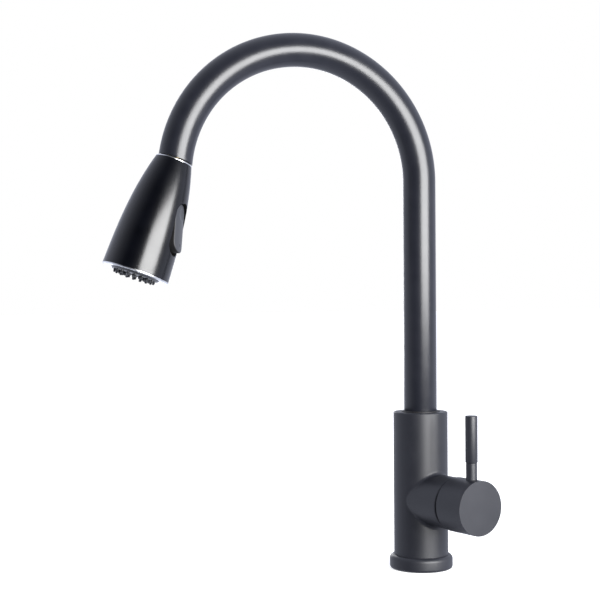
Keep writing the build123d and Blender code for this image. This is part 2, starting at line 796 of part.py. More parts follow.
neck_foot = 6.0
swivel_shoulder = neck_foot + joint_gap
swivel_nose_end = swivel_shoulder + 12.0
with BuildPart() as hose_swivel:
    with BuildSketch(head_cross.offset(-hose_end_back)):
        Circle(swivel_dia / 2)
    extrude(amount=hose_end_back + swivel_shoulder)
    with BuildSketch(head_cross.offset(swivel_shoulder)):
        Circle(swivel_flange_dia / 2)
    extrude(amount=2.0)
    with BuildSketch(head_cross.offset(swivel_shoulder)):
        Circle(swivel_nose_dia / 2)
    extrude(amount=swivel_nose_end - swivel_shoulder)
    # Two seal grooves in the nose.
    for groove_start in (4.0, 8.0):
        with BuildSketch(head_cross.offset(swivel_shoulder + groove_start)):
            Circle(swivel_nose_dia / 2 + 1.0)
            Circle(swivel_nose_dia / 2 - 1.0, mode=Mode.SUBTRACT)
        extrude(amount=1.6, mode=Mode.SUBTRACT)
    with BuildSketch(head_cross.offset(-hose_end_back)):
        Circle(swivel_bore / 2)
    extrude(amount=hose_end_back + swivel_nose_end, mode=Mode.SUBTRACT)
save(hose_swivel, "hose_swivel")

with BuildPart() as swivel_seals:
    for groove_start in (4.0, 8.0):
        with BuildSketch(head_cross.offset(swivel_shoulder + groove_start)):
            Circle(swivel_nose_dia / 2)
            Circle(swivel_nose_dia / 2 - 1.0, mode=Mode.SUBTRACT)
        extrude(amount=1.6)
save(swivel_seals, "swivel_seals")

# ---------------------------------------------------------------- spray head

shell_length = head_length - face_ring_height
with BuildPart() as head_shell:
    points, tangents = head_profile(0, top_ring_height, shell_length)
    with BuildSketch(head_side):
        with BuildLine():
            Spline(*points, tangents=tangents)
            Polyline(points[-1], (0, -shell_length), (0, -top_ring_height), points[0])
        make_face()
    revolve(axis=head_axis)
    points, tangents = head_profile(head_wall, top_ring_height, shell_length)
    with BuildSketch(head_side):
        with BuildLine():
            Spline(*points, tangents=tangents)
            Polyline(points[-1], (0, -shell_length), (0, -top_ring_height), points[0])
        make_face()
    revolve(axis=head_axis, mode=Mode.SUBTRACT)
    with BuildSketch(slot_plane):
        SlotOverall(slot_length, slot_width)
    extrude(amount=head_mouth_dia, mode=Mode.SUBTRACT)
save(head_shell, "head_shell")

with BuildPart() as top_ring:
    with BuildSketch(head_cross):
        Circle(head_top_dia / 2)
        Circle(core_dia / 2, mode=Mode.SUBTRACT)
    extrude(amount=top_ring_height)
    chamfer(top_ring.faces().sort_by(Axis.Z)[-1].outer_wire().edges(), length=top_ring_height / 2)
save(top_ring, "top_ring")

with BuildPart() as dock_neck:
    with BuildSketch(head_cross.offset(-neck_height)):
        Circle(neck_dia / 2)
        Circle(swivel_dia / 2 + running, mode=Mode.SUBTRACT)
    extrude(amount=neck_height + neck_foot)
save(dock_neck, "dock_neck")

spool_r = spool_dia / 2
spool_plane = Plane(origin=head_top + head_dir * (slot_centre + spool_forward),
                    x_dir=head_dir, z_dir=button_dir)
tray_floor = core_waist_dia / 2 + 1.5
with BuildPart() as head_core:
    with BuildSketch(head_cross):
        Circle(core_dia / 2)
    extrude(amount=slot_centre - slot_length / 2)
    with BuildSketch(head_cross):
        Circle(core_waist_dia / 2)
    extrude(amount=core_flange_top)
    with BuildSketch(head_cross.offset(core_flange_top)):
        Circle(nozzle_plate_dia / 2 + core_flange_edge)
    extrude(amount=shell_length - face_depth - core_flange_top)
    # Socket for the neck and the swivel's flange, then the seal bore and the check valve.
    with BuildSketch(head_cross):
        Circle(neck_dia / 2)
    extrude(amount=swivel_shoulder + 2.0 + joint_gap, mode=Mode.SUBTRACT)
    with BuildSketch(head_cross):
        Circle(swivel_nose_dia / 2 + running)
    extrude(amount=swivel_nose_end + joint_gap, mode=Mode.SUBTRACT)
    check_start = swivel_nose_end + joint_gap + 1.2
    with BuildSketch(head_cross.offset(swivel_nose_end + joint_gap)):
        Circle(check_body_dia / 2)
    extrude(amount=check_body_height + 1.2, mode=Mode.SUBTRACT)
    with BuildSketch(head_cross.offset(check_start)):
        Circle(swivel_bore / 2)
    extrude(amount=shell_length, mode=Mode.SUBTRACT)
    # Bore for the diverter spool.
    with BuildSketch(spool_plane):
        Circle(spool_r + running)
    extrude(amount=tray_floor, mode=Mode.SUBTRACT)
save(head_core, "head_core")

with BuildPart() as inlet_filter:
    with BuildSketch(head_cross.offset(swivel_nose_end + joint_gap)):
        Circle(check_body_dia / 2)
        with GridLocations(2.4, 2.4, 4, 4):
            Circle(0.7, mode=Mode.SUBTRACT)
    extrude(amount=1.2)
save(inlet_filter, "inlet_filter")

with BuildPart() as check_body:
    with BuildSketch(head_cross.offset(check_start)):
        Circle(check_body_dia / 2)
        Circle(check_bore_dia / 2, mode=Mode.SUBTRACT)
    extrude(amount=check_body_height)
    with BuildSketch(head_cross.offset(check_start)):
        Circle(check_body_dia / 2)
        Circle(poppet_dia / 3, mode=Mode.SUBTRACT)
    extrude(amount=2.0)
    with BuildSketch(head_cross.offset(check_start + check_body_height - 1.0)):
        Circle(check_body_dia / 2)
        Circle(poppet_dia / 3, mode=Mode.SUBTRACT)
    extrude(amount=1.0)
save(check_body, "check_body")

with BuildPart() as check_poppet:
    with BuildSketch(head_cross.offset(check_start + 2.0 + joint_gap)):
        Circle(poppet_dia / 2)
    extrude(amount=2.0)
    with BuildSketch(head_cross.offset(check_start + 4.0)):
        Circle(poppet_dia / 4)
    extrude(amount=check_body_height - 5.0 - check_travel - 2 * joint_gap)
save(check_poppet, "check_poppet")

spring_start = check_start + 4.0 + 2 * joint_gap
spring_length = check_body_height - 5.0 - 4 * joint_gap
with BuildPart() as check_spring:
    with BuildSketch(head_cross.offset(spring_start)):
        Circle(poppet_dia / 2)
        Circle(poppet_dia / 2 - 0.6, mode=Mode.SUBTRACT)
    extrude(amount=spring_length)
save(check_spring, "check_spring")

# ---------------------------------------------------------------- spray mode rocker

with BuildPart() as button_tray:
    points, tangents = head_profile(head_wall / 2, top_ring_height, shell_length)
    with BuildSketch(head_side):
        with BuildLine():
            Spline(*points, tangents=tangents)
            Polyline(points[-1], (0, -shell_length), (0, -top_ring_height), points[0])
        make_face()
    revolve(axis=head_axis)
    with BuildSketch(slot_plane.offset(tray_floor)):
        SlotOverall(slot_length, slot_width)
    extrude(amount=head_mouth_dia, mode=Mode.INTERSECT)
    with BuildSketch(slot_plane.offset(tray_floor + tray_wall)):
        SlotOverall(slot_length - 2 * (button_gap - sliding), slot_width - 2 * (button_gap - sliding))
    extrude(amount=head_mouth_dia, mode=Mode.SUBTRACT)
    with BuildSketch(spool_plane):
        Circle(spool_r + running)
    extrude(amount=head_mouth_dia, mode=Mode.SUBTRACT)
    pin_plane = Plane(origin=button_pivot, x_dir=head_dir, z_dir=button_pin_dir)
    with BuildSketch(pin_plane):
        Circle(button_pin_dia / 2)
    extrude(amount=slot_width / 2, both=True, mode=Mode.SUBTRACT)
save(button_tray, "button_tray")

with BuildPart() as button_pin:
    with BuildSketch(pin_plane):
        Circle(button_pin_dia / 2)
    extrude(amount=slot_width / 2 - sliding, both=True)
save(button_pin, "button_pin")

# Heights above the rocker's pin: the crowned face and the flat underside.
face_height = head_mid_dia / 2 + button_rise - button_pin_depth
under_height = face_height - button_thickness
crown_plane = Plane(origin=button_pivot, x_dir=button_pin_dir * -1, z_dir=rocker_long)

with BuildPart() as mode_button:
    with BuildSketch(rocker_plane.offset(under_height)):
        with Locations((button_shift, 0)):
            SlotOverall(slot_length - 2 * button_trim, slot_width - 2 * button_gap)
    extrude(amount=button_thickness)
    with BuildSketch(crown_plane):
        with Locations((0, face_height - button_crown)):
            Circle(button_crown)
    extrude(amount=slot_length, both=True, mode=Mode.INTERSECT)
    crown = mode_button.faces().filter_by(GeomType.CYLINDER).sort_by(SortBy.AREA)[-1]
    fillet(crown.outer_wire().edges(), radius=button_edge)
    # Thumb dish near the upper end and a raised dot near the lower end.
    dish_height = face_height - dish_depth + dish_radius
    with Locations(button_pivot + rocker_long * (button_shift - dish_back) + rocker_out * dish_height):
        Sphere(dish_radius, mode=Mode.SUBTRACT)
    dot_height = face_height - dot_dia / 4
    with Locations(button_pivot + rocker_long * (button_shift + dot_forward) + rocker_out * dot_height):
        Sphere(dot_dia / 2)
    # Lug that turns on the pin.
    with BuildSketch(rocker_side):
        Circle(button_lug_dia / 2)
        with Locations((0, under_height / 2)):
            Rectangle(button_lug_dia, under_height)
    extrude(amount=button_lug_width / 2, both=True)
    with BuildSketch(rocker_side):
        Circle(button_pin_dia / 2 + running)
    extrude(amount=slot_width, both=True, mode=Mode.SUBTRACT)
save(mode_button, "mode_button")

# The spool stands just under the rocker's flat underside, on the spool's own axis.
tilt_sin = sin(radians(button_tilt))
tilt_cos = cos(radians(button_tilt))
spool_along = (spool_forward + under_height * tilt_sin) / tilt_cos
spool_top = button_pin_depth + spool_along * tilt_sin + under_height * tilt_cos
spool_length = spool_top - spool_r * tilt_sin - spool_gap - spool_back
with BuildPart() as diverter_spool:
    with BuildSketch(spool_plane.offset(spool_back)):
        Circle(spool_r)
    extrude(amount=spool_length)
    fillet(diverter_spool.edges().filter_by(GeomType.CIRCLE), radius=0.6)
save(diverter_spool, "diverter_spool")

# ---------------------------------------------------------------- spray face

plate_start = shell_length - face_depth
with BuildPart() as spray_plate:
    with BuildSketch(head_cross.offset(plate_start)):
        Circle(face_bore_dia / 2)
    extrude(amount=face_depth)
    with BuildSketch(head_cross.offset(plate_start)):
        Circle(nozzle_plate_dia / 2)
    extrude(amount=face_depth / 2, mode=Mode.SUBTRACT)
    with BuildSketch(head_cross.offset(plate_start)):
        Circle(aerator_dia / 2)
        for ring_r, count in nozzle_rings:
            with PolarLocations(ring_r, count):
                Circle(nozzle_dia / 4)
    extrude(amount=face_depth, mode=Mode.SUBTRACT)
save(spray_plate, "spray_plate")

with BuildPart() as face_ring:
    with BuildSketch(head_cross.offset(shell_length)):
        Circle(head_mouth_dia / 2)
        Circle(nozzle_plate_dia / 2, mode=Mode.SUBTRACT)
    extrude(amount=face_ring_height)
    fillet(face_ring.faces().sort_by(Axis(head_top, head_dir))[-1].outer_wire().edges(), radius=0.5)
save(face_ring, "face_ring")

mat_height = face_ring_height + nozzle_plate_proud
with BuildPart() as nozzle_mat:
    with BuildSketch(head_cross.offset(shell_length)):
        Circle(nozzle_plate_dia / 2)
    extrude(amount=mat_height)
    chamfer(nozzle_mat.faces().sort_by(Axis(head_top, head_dir))[-1].edges(), length=nozzle_plate_proud - 0.2)
    for ring_r, count in nozzle_rings:
        with BuildSketch(head_cross.offset(shell_length + mat_height)):
            with PolarLocations(ring_r, count):
                Circle(nozzle_dia / 2)
        extrude(amount=nozzle_height, taper=8)
        with BuildSketch(head_cross.offset(shell_length)):
            with PolarLocations(ring_r, count):
                Circle(nozzle_dia / 4)
        extrude(amount=mat_height + nozzle_height, mode=Mode.SUBTRACT)
    with BuildSketch(head_cross.offset(shell_length)):
        Circle(aerator_dia / 2)
    extrude(amount=mat_height, mode=Mode.SUBTRACT)
save(nozzle_mat, "nozzle_mat")

with BuildPart() as aerator:
    with BuildSketch(head_cross.offset(shell_length + mat_height - aerator_height)):
        Circle(aerator_dia / 2)
        with GridLocations(2.2, 2.2, 3, 3):
            Circle(0.7, mode=Mode.SUBTRACT)
    extrude(amount=aerator_height)
save(aerator, "aerator")
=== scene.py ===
"""Looks, light and camera for the pull-down kitchen faucet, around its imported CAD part."""
import json
from math import cos, pi, radians, sin, tan

import bpy
from mathutils import Matrix, Quaternion, Vector

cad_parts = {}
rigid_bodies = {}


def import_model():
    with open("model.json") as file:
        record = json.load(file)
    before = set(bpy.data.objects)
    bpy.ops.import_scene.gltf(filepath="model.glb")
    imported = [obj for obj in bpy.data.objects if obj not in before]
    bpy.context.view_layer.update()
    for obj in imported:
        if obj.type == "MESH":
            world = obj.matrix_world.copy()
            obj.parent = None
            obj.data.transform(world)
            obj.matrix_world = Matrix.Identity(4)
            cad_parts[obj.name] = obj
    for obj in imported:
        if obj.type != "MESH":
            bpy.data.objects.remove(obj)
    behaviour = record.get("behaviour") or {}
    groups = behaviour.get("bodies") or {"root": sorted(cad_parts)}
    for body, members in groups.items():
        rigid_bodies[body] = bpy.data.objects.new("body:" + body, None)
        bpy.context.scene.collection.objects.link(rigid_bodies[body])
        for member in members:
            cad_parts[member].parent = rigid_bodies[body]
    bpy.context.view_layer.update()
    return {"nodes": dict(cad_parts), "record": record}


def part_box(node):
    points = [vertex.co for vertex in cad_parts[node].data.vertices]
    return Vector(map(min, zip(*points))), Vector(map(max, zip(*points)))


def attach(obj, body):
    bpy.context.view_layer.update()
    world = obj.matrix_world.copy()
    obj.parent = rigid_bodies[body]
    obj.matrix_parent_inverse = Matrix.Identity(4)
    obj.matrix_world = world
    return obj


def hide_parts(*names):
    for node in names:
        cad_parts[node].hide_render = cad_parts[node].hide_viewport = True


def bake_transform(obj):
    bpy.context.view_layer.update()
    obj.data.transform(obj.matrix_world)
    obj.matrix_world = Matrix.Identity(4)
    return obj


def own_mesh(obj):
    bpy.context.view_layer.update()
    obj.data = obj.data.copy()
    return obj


for leftover in list(bpy.data.objects):
    bpy.data.objects.remove(leftover)
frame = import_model()
NODES = frame["nodes"]
MM = 0.001

# ---------------------------------------------------------------- sizes, in millimetres

FLANGE_R, FLANGE_HEIGHT, FLANGE_FOOT_ROUND = 27.0, 12.0, 2.5
BODY_R = 23.2
PORT_BLOCK_R = 20.5
SEAL_INNER, SEAL_OUTER, SEAL_HEIGHT = 21.3, 23.5, 1.6
VALVE_HEIGHT = 60.2

HUB_R, HUB_WALL, HUB_RIM_X, HUB_FACE_X, HUB_INNER_X = 22.6, 1.4, 47.5, 76.8, 72.8
HUB_BOSS_R, HUB_BOSS_X, HUB_SOCKET_R, HUB_EDGE = 8.5, 58.0, 5.75, 0.4
LEVER_X, LEVER_NECK_R, LEVER_GRIP_R = 66.0, 4.55, 5.0
LEVER_GRIP_FOOT, LEVER_TOP, LEVER_SEAT, LEVER_THREAD_FOOT = 96.5, 135.0, 79.8, 67.8
LEVER_THREAD_R, LEVER_NECK_ROUND, LEVER_TOP_ROUND = 3.0, (0.25, 0.4), 0.6
GRIP_FOOT_STEP, GRIP_EDGE_STEP = 0.1, 0.05
PLUG_X, PLUG_R = 65.4, 3.2
HOLE_CLEARANCE, HOLE_CUT, SOCKET_SHORT = 0.05, 6.0, 0.3

SPOUT_R, SPOUT_WALL, SPOUT_TURN = 14.0, 1.2, -14.69
BEND_R, RISE_HEIGHT, ARCH_TURN, TUBE_FOOT = 107.8, 331.4, 172.7, 95.6

HEAD_LEAN, HEAD_JOINT, HEAD_STEP, MOUTH_GAP = 19.5, 1.65, 0.76, 1.0
HEAD_LENGTH, HEAD_WALL, TOP_RING_HEIGHT, FACE_RING_HEIGHT = 97.0, 2.2, 0.9, 1.0
HEAD_TOP_R, HEAD_MID_R, HEAD_MOUTH_R = 15.2, 24.5, 27.45
HEAD_TOP_SLOPE, HEAD_MOUTH_SLOPE = 16.5, 2.1
HEAD_CORE_R, NOZZLE_PLATE_R, AERATOR_R = 12.0, 20.0, 5.5
PLATE_PROUD = 1.4
NOZZLE_R, NOZZLE_HEIGHT, NOZZLE_FOOT, NOZZLE_BORE_FOOT = 1.2, 2.3, 0.2, 1.0
NOZZLE_RINGS = [(8.5, 10), (12.5, 14), (16.5, 18)]
NOZZLE_SHOULDER_R, NOZZLE_LIP_R, NOZZLE_MOUTH_R, NOZZLE_BORE_R = 0.86, 0.76, 0.6, 0.42
BUTTON_TURN, SLOT_LENGTH, SLOT_WIDTH, SLOT_CENTRE = 36.0, 43.2, 19.6, 53.5
SLOT_OVERCUT, SHELL_STATIONS = 4.0, 72
RING_EDGE, TOP_RING_SHY, FACE_RING_ROUND = 0.15, 0.12, 0.5

HOSE_R, HOSE_FOOT, HOSE_LEAD, HOSE_END_BACK = 6.0, 22.0, 24.0, 20.0
FERRULE_R, FERRULE_BORE_R, FERRULE_LENGTH = 7.4, 6.3, 6.0
FERRULE_CHAMFER, CRIMPS, CRIMP_PITCH, CRIMP_DEPTH = 0.4, 3, 1.9, 0.35
CRIMP_BAND, CRIMP_SLOPE_END, CRIMP_GROOVE_END = 1.1, 1.35, 1.65

SPRING_R, SPRING_WIRE_R, SPRING_TURNS, SPRING_LENGTH = 3.1, 0.28, 6, 6.6
SPRING_SIDES, SPRING_STEPS = 10, 28

# A turned piece's pole is a ring this small, merged to a point when the piece is finished.
POLE_R, MERGE, NEAR = 0.004, 0.008, 0.01
EDGE_SOFT = 0.25
FINE_SIDES, ROUND_SIDES, LEVER_SIDES = 160, 128, 72
ARCH_STEPS, LEAD_STEPS = 96, 8

# ---------------------------------------------------------------- directions and places

UP = Vector((0, 0, 1))
SPOUT_DIR = Vector((sin(radians(SPOUT_TURN)), -cos(radians(SPOUT_TURN)), 0))
LEAN_SIN, LEAN_COS = sin(radians(HEAD_LEAN)), cos(radians(HEAD_LEAN))
HEAD_DIR = SPOUT_DIR * LEAN_SIN - UP * LEAN_COS
HEAD_OUT = SPOUT_DIR * LEAN_COS + UP * LEAN_SIN
ARCH_END_X = BEND_R * (1 - cos(radians(ARCH_TURN)))
ARCH_END_Z = RISE_HEIGHT + BEND_R * sin(radians(ARCH_TURN))
HEAD_TOP_X = ARCH_END_X + HEAD_JOINT * LEAN_SIN + HEAD_STEP * LEAN_COS
HEAD_TOP_Z = ARCH_END_Z - HEAD_JOINT * LEAN_COS + HEAD_STEP * LEAN_SIN
HEAD_TOP = SPOUT_DIR * HEAD_TOP_X + UP * HEAD_TOP_Z
BUTTON_DIR = Matrix.Rotation(radians(BUTTON_TURN), 3, HEAD_DIR) @ (HEAD_OUT * -1)
ROCKER_TILT = 15.6
ROCKER_OUT = Matrix.Rotation(radians(ROCKER_TILT), 3, HEAD_DIR.cross(BUTTON_DIR)) @ BUTTON_DIR


def place_matrix(origin, x_dir, z_dir):
    """The matrix that takes a piece made at the origin, about Z, to its own place."""
    y_dir = z_dir.cross(x_dir)
    turn = Matrix((x_dir, y_dir, z_dir)).transposed().to_4x4()
    return Matrix.Translation(origin * MM) @ turn


HEAD_PLACE = place_matrix(HEAD_TOP, HEAD_OUT, HEAD_DIR)
SLOT_PLACE = place_matrix(HEAD_TOP + HEAD_DIR * SLOT_CENTRE, HEAD_DIR, BUTTON_DIR)
HUB_PLACE = place_matrix(Vector((HUB_RIM_X, 0, VALVE_HEIGHT)), UP, Vector((1, 0, 0)))
LEVER_PLACE = place_matrix(Vector((LEVER_X, 0, 0)), Vector((1, 0, 0)), UP)

# ---------------------------------------------------------------- modelling steps


def clear_selection():
    if bpy.context.object is not None and bpy.context.object.mode != "OBJECT":
        bpy.ops.object.mode_set(mode="OBJECT")
    bpy.ops.object.select_all(action="DESELECT")


def select_only(piece):
    clear_selection()
    piece.select_set(True)
    bpy.context.view_layer.objects.active = piece


def edit(piece):
    """Opens one piece for editing with all of it selected."""
    select_only(piece)
    bpy.ops.object.mode_set(mode="EDIT")
    bpy.ops.mesh.select_mode(type="VERT")
    bpy.ops.mesh.select_all(action="SELECT")


def pick(piece, wanted, part="vertices"):
    """Selects the vertices or faces whose places the test wants, and nothing else."""
    bpy.ops.mesh.select_mode(type={"vertices": "VERT", "polygons": "FACE"}[part])
    bpy.ops.mesh.select_all(action="DESELECT")
    bpy.ops.object.mode_set(mode="OBJECT")
    for item in getattr(piece.data, part):
        item.select = wanted(item.co if part == "vertices" else item.center)
    bpy.ops.object.mode_set(mode="EDIT")


def start_ring(radius, height, sides):
    clear_selection()
    bpy.ops.mesh.primitive_circle_add(vertices=sides, radius=radius * MM, location=(0, 0, height * MM))
    bpy.ops.object.transform_apply(location=True, rotation=True, scale=True)
    ring = bpy.context.active_object
    edit(ring)
    return ring


def extrude(offset):
    bpy.ops.mesh.extrude_region_move(TRANSFORM_OT_translate={"value": tuple(offset)})


def finish_mesh(piece, name, smooth_angle=30):
    """Closes seams and poles, points the faces outwards and smooths the shading."""
    edit(piece)
    bpy.ops.mesh.remove_doubles(threshold=MERGE * MM)
    bpy.ops.mesh.normals_make_consistent(inside=False)
    bpy.ops.object.mode_set(mode="OBJECT")
    piece.name = piece.data.name = name
    bpy.ops.object.shade_smooth_by_angle(angle=radians(smooth_angle))
    return piece


def put(piece, matrix):
    """Moves a finished mesh to its place, with its object left at the origin."""
    select_only(piece)
    piece.matrix_world = matrix
    bpy.ops.object.transform_apply(location=True, rotation=True, scale=True)
    return piece


def turned(name, outline, sides=96, smooth_angle=30):
    """A piece turned about Z: a ring is extruded and resized along its outline of (radius, height)."""
    radius, height = outline[0]
    piece = start_ring(radius, height, sides)
    for next_radius, next_height in outline[1:]:
        extrude((0, 0, (next_height - height) * MM))
        size = next_radius / radius
        bpy.ops.transform.resize(value=(size, size, 1), center_override=(0, 0, 0))
        radius, height = next_radius, next_height
    return finish_mesh(piece, name, smooth_angle)


def modify(piece, kind, **settings):
    """Adds one modifier with its settings and applies it."""
    select_only(piece)
    modifier = piece.modifiers.new(kind.title(), kind)
    for setting, value in settings.items():
        setattr(modifier, setting, value)
    bpy.ops.object.modifier_apply(modifier=modifier.name)
    return piece


def cut(piece, cutter):
    """Takes the cutter's space out of the piece."""
    modify(piece, "BOOLEAN", operation="DIFFERENCE", solver="EXACT", object=cutter)
    bpy.data.objects.remove(cutter)
    return piece


def soften_edges(piece, width, segments=2, angle=40):
    """Rounds every edge sharper than the angle a little."""
    modify(piece, "BEVEL", width=width * MM, segments=segments, limit_method="ANGLE",
           angle_limit=radians(angle), use_clamp_overlap=True, harden_normals=False)
    select_only(piece)
    bpy.ops.object.shade_smooth_by_angle(angle=radians(angle))
    return piece


def arc_points(centre, radius, start, end, steps):
    """(radius, height) points of an outline's rounded corner, angles in degrees."""
    turns = [radians(start + (end - start) * i / steps) for i in range(steps + 1)]
    return [(centre[0] + radius * cos(t), centre[1] + radius * sin(t)) for t in turns]


# ---------------------------------------------------------------- base flange

shoulder = FLANGE_R - BODY_R
foot = (FLANGE_R - FLANGE_FOOT_ROUND, FLANGE_FOOT_ROUND)
flange_outline = [
    (PORT_BLOCK_R, FLANGE_HEIGHT), (PORT_BLOCK_R, 0), (SEAL_INNER, 0), (SEAL_INNER, SEAL_HEIGHT),
    (SEAL_OUTER, SEAL_HEIGHT), (SEAL_OUTER, 0),
    *arc_points(foot, FLANGE_FOOT_ROUND, 270, 360, 10),
    *arc_points((BODY_R, FLANGE_HEIGHT - shoulder), shoulder, 0, 90, 14),
    (PORT_BLOCK_R, FLANGE_HEIGHT),
]
base_flange = turned("base_flange_turned", flange_outline, sides=FINE_SIDES)

# ---------------------------------------------------------------- handle

clear_selection()
hub_depth = HUB_FACE_X - HUB_RIM_X
bpy.ops.mesh.primitive_cylinder_add(vertices=FINE_SIDES, radius=HUB_R * MM, depth=hub_depth * MM,
                                    location=(0, 0, hub_depth / 2 * MM))
bpy.ops.object.transform_apply(location=True, rotation=True, scale=True)
handle_hub = bpy.context.active_object
edit(handle_hub)
# The open side: rim, bore, then the boss with its socket for the spindle.
pick(handle_hub, lambda centre: abs(centre.z) < NEAR * MM, "polygons")
for inset, deeper in (
    (HUB_WALL, HUB_INNER_X - HUB_RIM_X),
    (HUB_R - HUB_WALL - HUB_BOSS_R, HUB_BOSS_X - HUB_INNER_X),
    (HUB_BOSS_R - HUB_SOCKET_R, HUB_INNER_X - HUB_BOSS_X - SOCKET_SHORT),
):
    bpy.ops.mesh.inset(thickness=inset * MM, depth=0)
    extrude((0, 0, deeper * MM))
finish_mesh(handle_hub, "handle_hub_turned")
for x, radius, height in ((LEVER_X, LEVER_NECK_R, HUB_R), (PLUG_X, PLUG_R, -HUB_R)):
    bpy.ops.mesh.primitive_cylinder_add(vertices=48, radius=(radius + HOLE_CLEARANCE) * MM,
                                        depth=HOLE_CUT * MM,
                                        location=(height * MM, 0, (x - HUB_RIM_X) * MM),
                                        rotation=(0, pi / 2, 0))
    cut(handle_hub, bpy.context.active_object)
soften_edges(handle_hub, HUB_EDGE, segments=3)
put(handle_hub, HUB_PLACE)

lever_rod = turned("lever_rod_turned", [
    (POLE_R, LEVER_THREAD_FOOT), (LEVER_THREAD_R, LEVER_THREAD_FOOT), (LEVER_THREAD_R, LEVER_SEAT),
    (LEVER_NECK_R, LEVER_SEAT), (LEVER_NECK_R, LEVER_GRIP_FOOT - LEVER_NECK_ROUND[1]),
    (LEVER_NECK_R - LEVER_NECK_ROUND[0], LEVER_GRIP_FOOT), (POLE_R, LEVER_GRIP_FOOT),
], sides=LEVER_SIDES)
put(lever_rod, LEVER_PLACE)
grip_chamfer = LEVER_GRIP_R - LEVER_NECK_R
lever_grip = turned("lever_grip_turned", [
    (POLE_R, LEVER_GRIP_FOOT), (LEVER_NECK_R - GRIP_FOOT_STEP, LEVER_GRIP_FOOT),
    (LEVER_GRIP_R - GRIP_EDGE_STEP, LEVER_GRIP_FOOT + grip_chamfer),
    (LEVER_GRIP_R, LEVER_GRIP_FOOT + grip_chamfer + GRIP_FOOT_STEP),
    *arc_points((LEVER_GRIP_R - LEVER_TOP_ROUND, LEVER_TOP - LEVER_TOP_ROUND), LEVER_TOP_ROUND, 0, 90, 6),
    (POLE_R, LEVER_TOP),
], sides=LEVER_SIDES)
put(lever_grip, LEVER_PLACE)

# ---------------------------------------------------------------- spout tube and hose


def swept(name, radius, foot, rise, bend, turn, tail_dir, tail_steps, sides):
    """A tube up the column, round the arch and on along its tail: a ring extruded, spun and extruded."""
    tube = start_ring(radius, foot, sides)
    extrude((0, 0, (rise - foot) * MM))
    centre = (SPOUT_DIR * bend + UP * rise) * MM
    bpy.ops.mesh.spin(steps=ARCH_STEPS, angle=radians(turn), center=tuple(centre),
                      axis=tuple(SPOUT_DIR.cross(UP)))
    for length in tail_steps:
        extrude(tail_dir * length * MM)
    return tube


arch_tail = SPOUT_DIR * sin(radians(ARCH_TURN)) + UP * cos(radians(ARCH_TURN))
spout_tube = swept("spout", SPOUT_R, TUBE_FOOT, RISE_HEIGHT, BEND_R, ARCH_TURN, arch_tail,
                   [SPOUT_R * 2 / 3], 96)
mouth = (HEAD_TOP - HEAD_DIR * MOUTH_GAP) * MM
pick(spout_tube, lambda co: co.dot(SPOUT_DIR) > BEND_R * MM)
bpy.ops.mesh.bisect(plane_co=tuple(mouth), plane_no=tuple(HEAD_DIR), clear_outer=True)
finish_mesh(spout_tube, "spout_tube_bent", 40)
modify(spout_tube, "SOLIDIFY", thickness=SPOUT_WALL * MM, offset=-1, use_even_offset=True)
soften_edges(spout_tube, EDGE_SOFT, angle=50)

hose_bend = (HEAD_TOP_X - HOSE_LEAD * LEAN_SIN) / (1 + LEAN_COS)
hose_rise = HEAD_TOP_Z - hose_bend * LEAN_SIN + HOSE_LEAD * LEAN_COS
hose_run = HOSE_LEAD - HOSE_END_BACK
pull_hose = swept("hose", HOSE_R, HOSE_FOOT, hose_rise, hose_bend, 180 - HEAD_LEAN, HEAD_DIR,
                  [hose_run / LEAD_STEPS] * LEAD_STEPS, 48)
bpy.ops.mesh.edge_face_add()
finish_mesh(pull_hose, "pull_hose_braided", 40)
# The hose's last stretch, along the head's axis, is a piece of its own.
edit(pull_hose)
pick(pull_hose, lambda co: co.dot(SPOUT_DIR) > BEND_R * MM
     and (co / MM - HEAD_TOP).dot(HEAD_DIR) > NEAR - HOSE_LEAD, "polygons")
bpy.ops.mesh.separate(type="SELECTED")
bpy.ops.object.mode_set(mode="OBJECT")
hose_lead = next(piece for piece in bpy.context.selected_objects if piece is not pull_hose)
hose_lead.name = hose_lead.data.name = "hose_lead_braided"

ferrule_start = -HOSE_END_BACK - FERRULE_LENGTH
ferrule_outline = [(FERRULE_BORE_R, ferrule_start), (FERRULE_R - FERRULE_CHAMFER, ferrule_start)]
for crimp in range(CRIMPS):
    band = ferrule_start + FERRULE_CHAMFER + crimp * CRIMP_PITCH
    ferrule_outline += [(FERRULE_R, band), (FERRULE_R, band + CRIMP_BAND),
                        (FERRULE_R - CRIMP_DEPTH, band + CRIMP_SLOPE_END),
                        (FERRULE_R - CRIMP_DEPTH, band + CRIMP_GROOVE_END)]
ferrule_outline += [(FERRULE_R - FERRULE_CHAMFER / 2, -HOSE_END_BACK), (FERRULE_BORE_R, -HOSE_END_BACK),
                    (FERRULE_BORE_R, ferrule_start)]
hose_ferrule = put(turned("hose_ferrule_crimped", ferrule_outline, sides=64), HEAD_PLACE)

# ---------------------------------------------------------------- spray head

SHELL_LENGTH = HEAD_LENGTH - FACE_RING_HEIGHT


